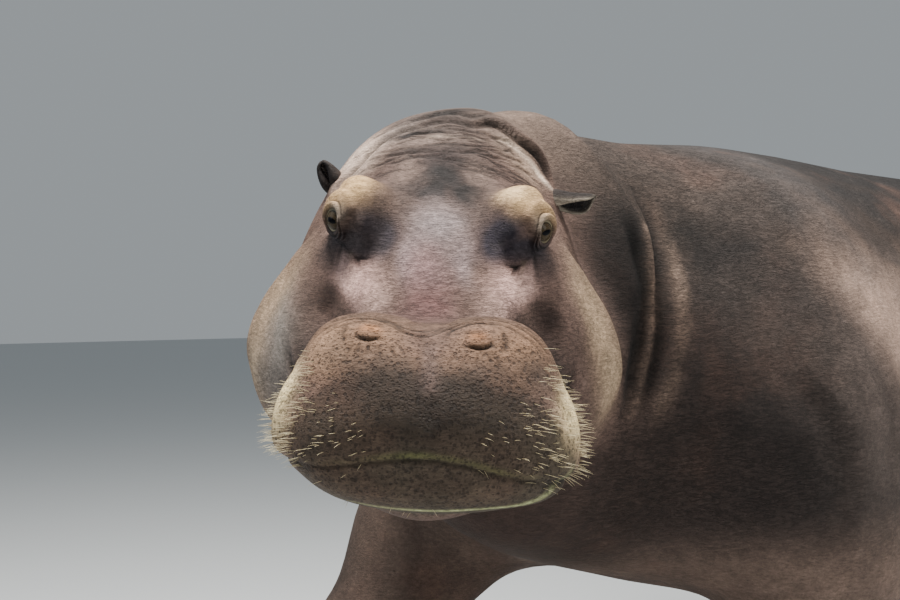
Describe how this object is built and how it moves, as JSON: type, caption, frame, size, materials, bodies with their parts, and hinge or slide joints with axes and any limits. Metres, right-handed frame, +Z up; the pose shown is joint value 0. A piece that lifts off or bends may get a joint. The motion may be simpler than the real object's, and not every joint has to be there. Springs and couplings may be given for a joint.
{
  "type": "hippopotamus model",
  "caption": "Life-size still model of an adult common hippopotamus walking slowly, its broad head turned to the left and lowered, standing on its flat soles.",
  "frame": {"origin": "middle of the bounding box at floor level, under the barrel of the body", "axes": "+Z up, X along the body with the head towards -X, the animal's left side towards -Y"},
  "size_m": [3.428, 1.2712, 1.4485],
  "materials": {
    "hide": "damp, matte to satin, finely wrinkled",
    "eye": "wet and glossy",
    "nail": "dull horn"
  },
  "bodies": {
    "root": {"trunk": "hide", "neck": "hide", "head": "hide", "lower_jaw": "hide", "ear_left": "hide", "ear_right": "hide", "eye_left": "eye", "eye_right": "eye", "foreleg_left_upper": "hide", "foreleg_left_lower": "hide", "foreleg_left_foot": "hide", "foreleg_left_nail_a": "nail", "foreleg_left_nail_b": "nail", "foreleg_left_nail_c": "nail", "foreleg_left_nail_d": "nail", "foreleg_right_upper": "hide", "foreleg_right_lower": "hide", "foreleg_right_foot": "hide", "foreleg_right_nail_a": "nail", "foreleg_right_nail_b": "nail", "foreleg_right_nail_c": "nail", "foreleg_right_nail_d": "nail", "hindleg_left_upper": "hide", "hindleg_left_lower": "hide", "hindleg_left_foot": "hide", "hindleg_left_nail_a": "nail", "hindleg_left_nail_b": "nail", "hindleg_left_nail_c": "nail", "hindleg_left_nail_d": "nail", "hindleg_right_upper": "hide", "hindleg_right_lower": "hide", "hindleg_right_foot": "hide", "hindleg_right_nail_a": "nail", "hindleg_right_nail_b": "nail", "hindleg_right_nail_c": "nail", "hindleg_right_nail_d": "nail", "tail": "hide"}
  },
  "joints": []
}
